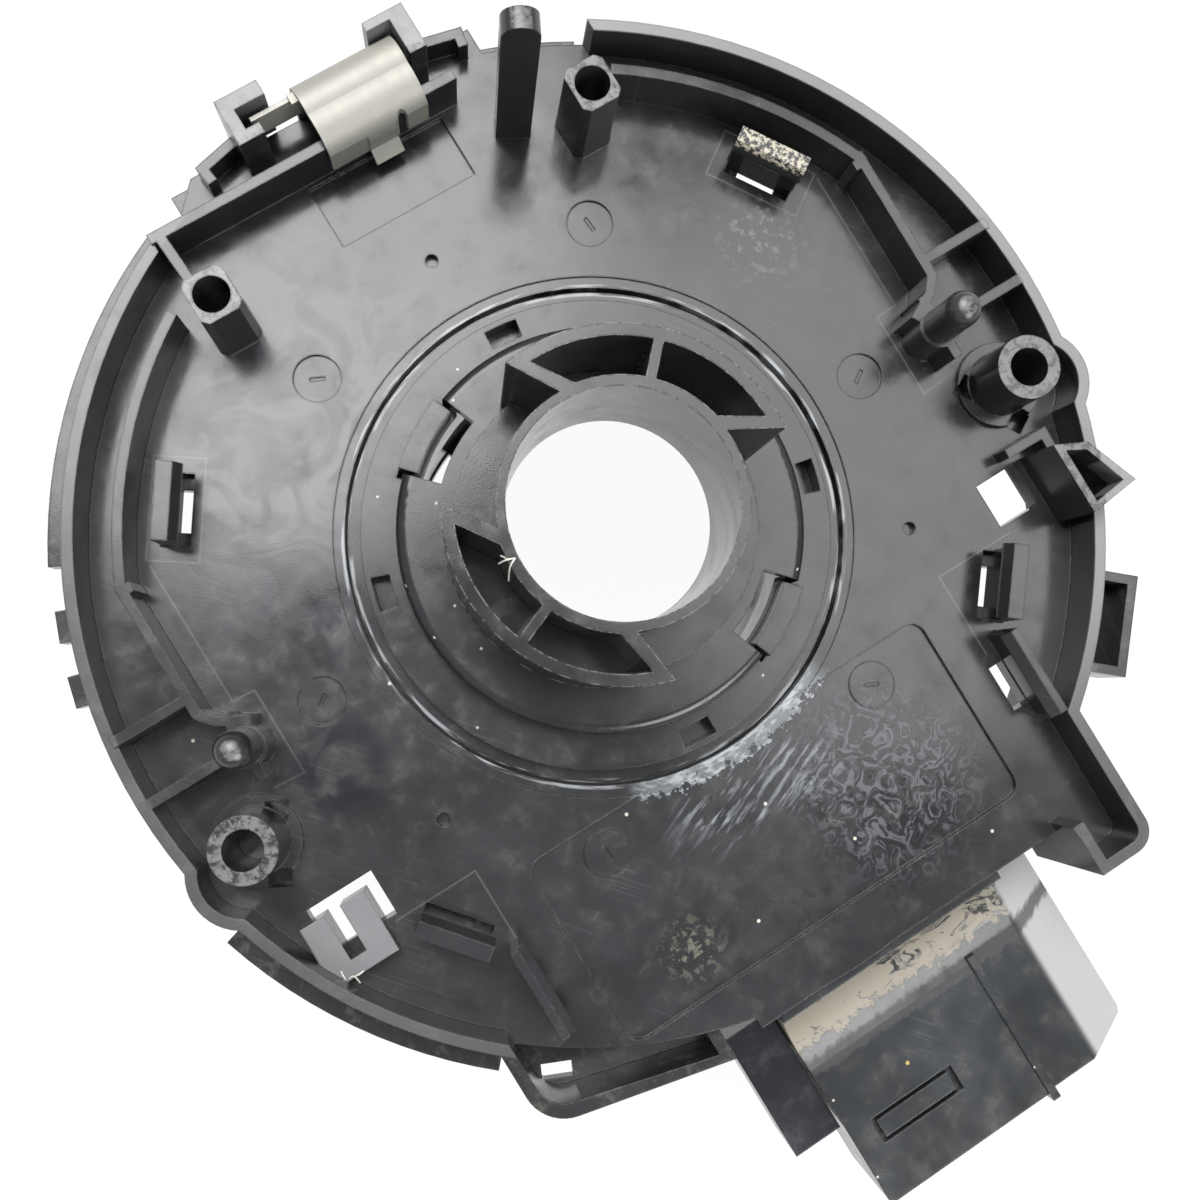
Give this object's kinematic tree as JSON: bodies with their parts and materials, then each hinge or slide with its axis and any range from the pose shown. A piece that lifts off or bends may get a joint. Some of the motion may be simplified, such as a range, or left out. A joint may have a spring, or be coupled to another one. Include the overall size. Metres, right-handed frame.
{
  "type": "steering clock spring",
  "caption": "Round steering column spiral cable case with a turning hub, cancelling cams, snap hooks, screw bosses and harness sockets.",
  "frame": {"origin": "rotor axis, in the wheel side face of the rotor disc", "axes": "+Z along the steering axis towards the column side, -Y towards the harness connector"},
  "size_m": [0.1028, 0.1275, 0.0528],
  "materials": {
    "case_plastic": "satin black moulding with light scuffs",
    "dark_plastic": "darker black moulding",
    "natural_plastic": "natural acetal",
    "yellow_plastic": "plain moulding",
    "slide_film": "film",
    "cable_film": "laminated film over copper",
    "tinned_brass": "tinned",
    "spring_steel": "satin"
  },
  "bodies": {
    "case": {"rear_case": "case_plastic", "front_case": "case_plastic", "connector_housing": "case_plastic", "side_connector": "dark_plastic", "stator_lead_block": "natural_plastic", "main_terminals": "tinned_brass", "small_terminals": "tinned_brass", "spring_clip": "spring_steel", "rear_slide_sheet": "slide_film", "flat_cable_outer": "cable_film"},
    "rotor": {"front_rotor": "case_plastic", "rear_sleeve": "case_plastic", "wheel_connector": "case_plastic", "wheel_terminals": "tinned_brass", "airbag_connector": "yellow_plastic", "airbag_terminals": "tinned_brass", "rotor_lead_block": "natural_plastic", "front_slide_sheet": "slide_film", "flat_cable_inner": "cable_film"},
    "carrier": {"roller_carrier": "natural_plastic", "flat_cable_loop": "cable_film"},
    "roller_1_body": {"roller_1": "natural_plastic"},
    "roller_2_body": {"roller_2": "natural_plastic"},
    "roller_3_body": {"roller_3": "natural_plastic"},
    "roller_4_body": {"roller_4": "natural_plastic"}
  },
  "joints": [
    {"name": "rotor_spin", "type": "hinge", "parent": "case", "child": "rotor", "pos_m": [0, 0, 0], "axis": [0, 0, 1], "range_deg": [-900, 900], "deforming": ["flat_cable_outer", "flat_cable_inner", "flat_cable_loop"]},
    {"name": "carrier_turn", "type": "hinge", "parent": "case", "child": "carrier", "pos_m": [0, 0, 0], "axis": [0, 0, 1], "range_deg": [-361, 361]},
    {"name": "roller_1_spin", "type": "hinge", "parent": "carrier", "child": "roller_1_body", "pos_m": [0.02029, 0.02029, 0.003], "axis": [0, 0, 1], "range_deg": [-2570, 2570]},
    {"name": "roller_2_spin", "type": "hinge", "parent": "carrier", "child": "roller_2_body", "pos_m": [-0.02029, 0.02029, 0.003], "axis": [0, 0, 1], "range_deg": [-2570, 2570]},
    {"name": "roller_3_spin", "type": "hinge", "parent": "carrier", "child": "roller_3_body", "pos_m": [-0.02029, -0.02029, 0.003], "axis": [0, 0, 1], "range_deg": [-2570, 2570]},
    {"name": "roller_4_spin", "type": "hinge", "parent": "carrier", "child": "roller_4_body", "pos_m": [0.02029, -0.02029, 0.003], "axis": [0, 0, 1], "range_deg": [-2570, 2570]}
  ],
  "couplings": [
    {"joint": "carrier_turn", "follows": "rotor_spin", "ratio": 0.4},
    {"joint": "roller_1_spin", "follows": "rotor_spin", "ratio": -2.85},
    {"joint": "roller_2_spin", "follows": "rotor_spin", "ratio": -2.85},
    {"joint": "roller_3_spin", "follows": "rotor_spin", "ratio": -2.85},
    {"joint": "roller_4_spin", "follows": "rotor_spin", "ratio": -2.85}
  ]
}
